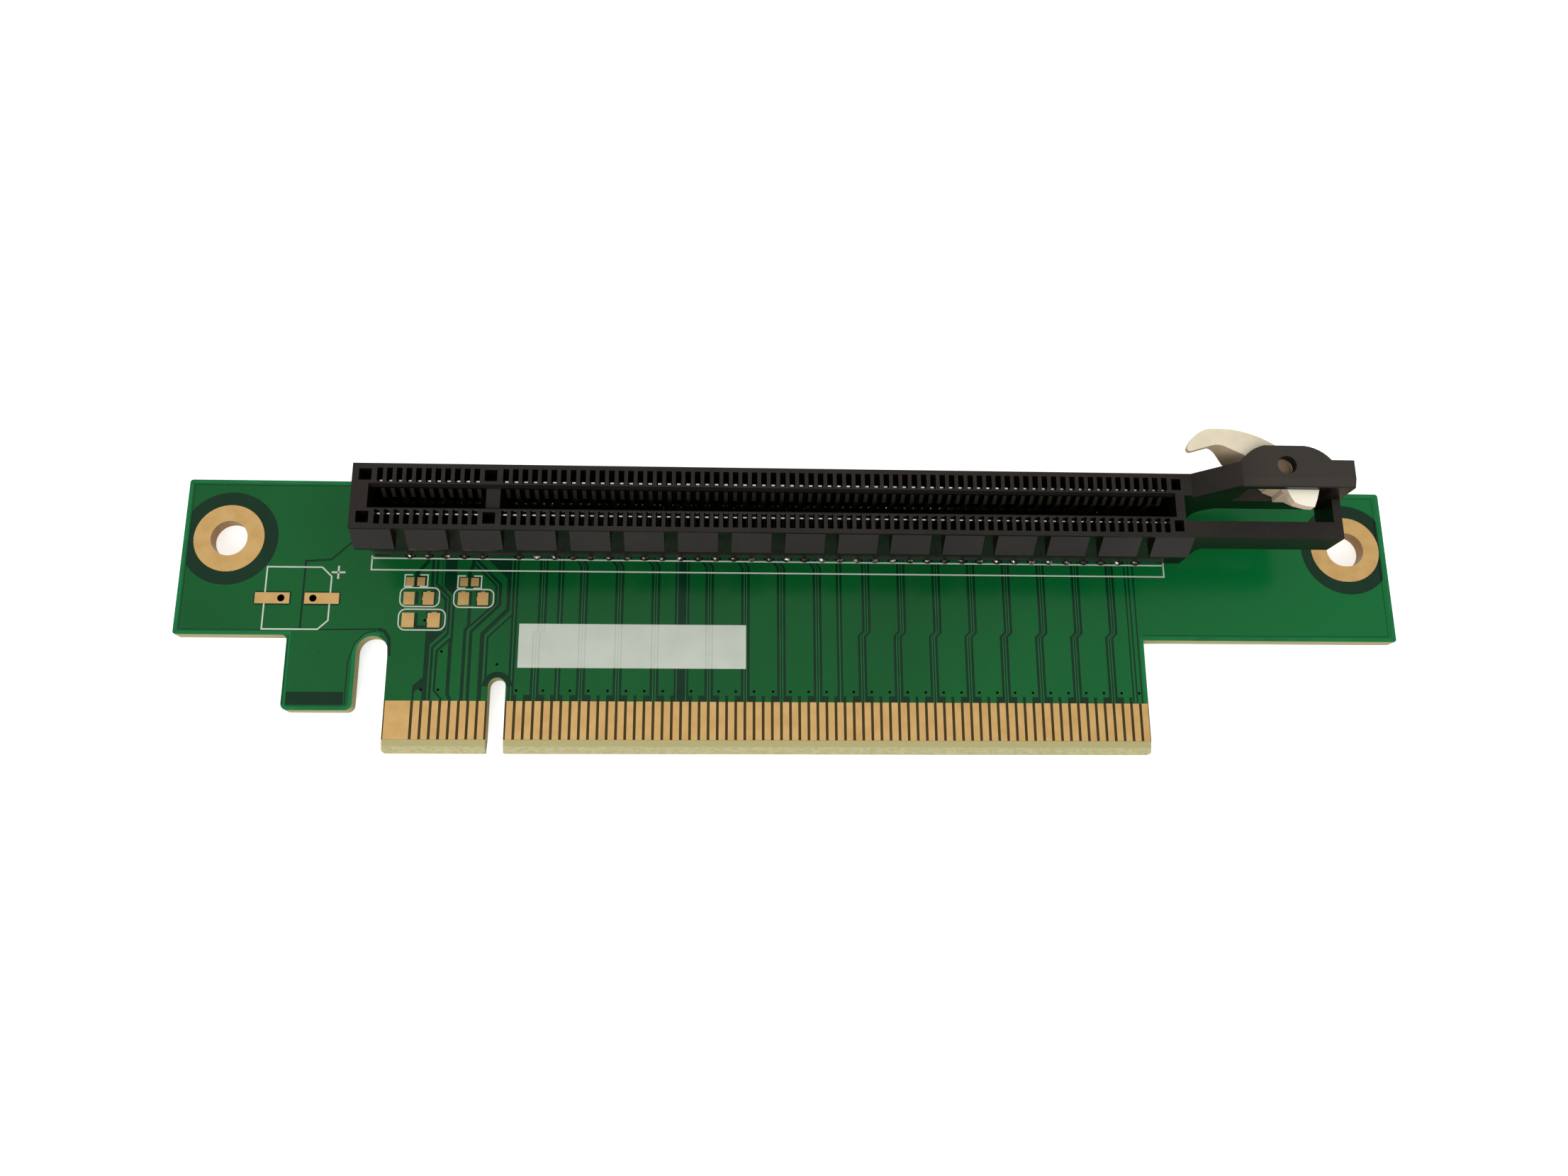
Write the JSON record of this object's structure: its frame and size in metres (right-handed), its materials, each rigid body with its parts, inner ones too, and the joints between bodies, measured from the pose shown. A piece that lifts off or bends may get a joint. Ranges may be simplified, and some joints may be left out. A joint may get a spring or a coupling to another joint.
{
  "type": "pcie riser card",
  "caption": "Long narrow circuit board with a gold-fingered edge tab in front and a black slot connector with a pivoting ivory retention lever on top.",
  "frame": {"origin": "underside of the board, where the key notch's centre line meets the card slot's centre line", "axes": "+X along the connector away from the short pin row, +Y from the gold fingers towards the rear edge, +Z out of the board towards the connector"},
  "size_m": [0.1365, 0.0328, 0.0182],
  "materials": {
    "laminate": "green solder mask over glass-fibre laminate, semi-gloss",
    "gold_plating": "thin gold plating over copper, satin",
    "contact_strip": "stamped and plated spring strip",
    "black_moulding": "glass-filled black plastic, fine matte top and smoother sides",
    "ivory_moulding": "smooth ivory plastic, satin"
  },
  "bodies": {
    "card": {"circuit_board": "laminate", "mounting_rings": "gold_plating", "edge_fingers_top": "gold_plating", "edge_fingers_bottom": "gold_plating", "electrolytic_lands": "gold_plating", "large_capacitor_lands": "gold_plating", "medium_capacitor_lands": "gold_plating", "small_capacitor_lands": "gold_plating", "connector_housing": "black_moulding", "contacts_front_outer": "contact_strip", "contacts_front_inner": "contact_strip", "contacts_rear_outer": "contact_strip", "contacts_rear_inner": "contact_strip"},
    "lever": {"retention_lever": "ivory_moulding"}
  },
  "joints": [
    {"name": "lever_pivot", "type": "hinge", "parent": "card", "child": "lever", "pos_m": [0.08357, 0.00322, 0.01355], "axis": [0, 0, 1], "range_deg": [-6, 7]}
  ]
}
